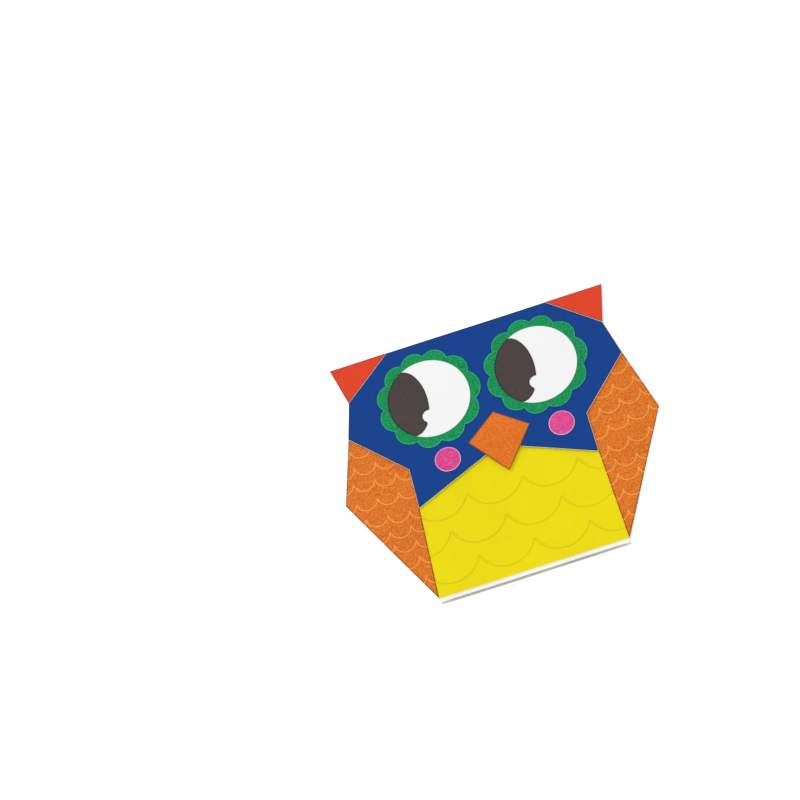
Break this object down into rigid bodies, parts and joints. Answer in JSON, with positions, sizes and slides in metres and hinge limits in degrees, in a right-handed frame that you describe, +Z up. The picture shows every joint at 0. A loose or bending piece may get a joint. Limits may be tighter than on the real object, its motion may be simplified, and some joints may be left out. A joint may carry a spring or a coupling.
{
  "type": "paper bag puppet",
  "caption": "Flat owl hand puppet: cut-paper head on a folded bag flap that lifts as a mouth, wings and belly on a gusseted bag open at the foot for a hand.",
  "frame": {"origin": "on the table under the middle of the whole outline, at the underside of the back card", "axes": "+Z up through the thickness with the face up, +Y towards the top of the head, +X to the viewer's right"},
  "size_m": [0.1978, 0.1684, 0.0076],
  "materials": {
    "white_card": "matte",
    "bag_paper": "matte",
    "yellow_card": "matte",
    "wing_card": "matte",
    "blue_card": "matte",
    "red_card": "matte",
    "green_card": "matte",
    "brown_card": "matte",
    "pink_card": "matte",
    "beak_card": "matte"
  },
  "bodies": {
    "bag_back": {"back_cutout": "white_card", "bag_back_wall": "bag_paper"},
    "bag_front": {"bag_front_wall": "bag_paper", "belly": "yellow_card", "wing_left": "wing_card", "wing_right": "wing_card"},
    "head_flap": {"flap_inner": "bag_paper", "flap_outer": "bag_paper", "head_cutout": "blue_card", "ear_left": "red_card", "ear_right": "red_card", "eye_ring_left": "green_card", "eye_ring_right": "green_card", "eye_white_left": "white_card", "eye_white_right": "white_card", "pupil_left": "brown_card", "pupil_right": "brown_card", "cheek_left": "pink_card", "cheek_right": "pink_card", "beak": "beak_card"},
    "gusset_left_back_half": {"gusset_left_back": "bag_paper"},
    "gusset_left_front_half": {"gusset_left_front": "bag_paper"},
    "gusset_right_back_half": {"gusset_right_back": "bag_paper"},
    "gusset_right_front_half": {"gusset_right_front": "bag_paper"}
  },
  "joints": [
    {"name": "bag_open", "type": "hinge", "parent": "bag_back", "child": "bag_front", "pos_m": [0, 0.0841, 0.00075], "axis": [-1, 0, 0], "range_deg": [0, 12]},
    {"name": "mouth_open", "type": "hinge", "parent": "bag_front", "child": "head_flap", "pos_m": [0, 0.08415, 0.002], "axis": [-1, 0, 0], "range_deg": [0, 95]},
    {"name": "gusset_left_back_fold", "type": "hinge", "parent": "bag_back", "child": "gusset_left_back_half", "pos_m": [-0.0597, 0.0841, 0.00075], "axis": [0, -1, 0], "range_deg": [0, 27]},
    {"name": "gusset_left_front_fold", "type": "hinge", "parent": "bag_front", "child": "gusset_left_front_half", "pos_m": [-0.0597, 0.0841, 0.00075], "axis": [0, 0.9994, -0.0349], "range_deg": [0, 27]},
    {"name": "gusset_right_back_fold", "type": "hinge", "parent": "bag_back", "child": "gusset_right_back_half", "pos_m": [0.0597, 0.0841, 0.00075], "axis": [0, 1, 0], "range_deg": [0, 27]},
    {"name": "gusset_right_front_fold", "type": "hinge", "parent": "bag_front", "child": "gusset_right_front_half", "pos_m": [0.0597, 0.0841, 0.00075], "axis": [0, -0.9994, 0.0349], "range_deg": [0, 27]}
  ],
  "couplings": [
    {"joint": "gusset_left_back_fold", "follows": "bag_open", "ratio": 2.17},
    {"joint": "gusset_left_front_fold", "follows": "bag_open", "ratio": 2.17},
    {"joint": "gusset_right_back_fold", "follows": "bag_open", "ratio": 2.17},
    {"joint": "gusset_right_front_fold", "follows": "bag_open", "ratio": 2.17}
  ]
}
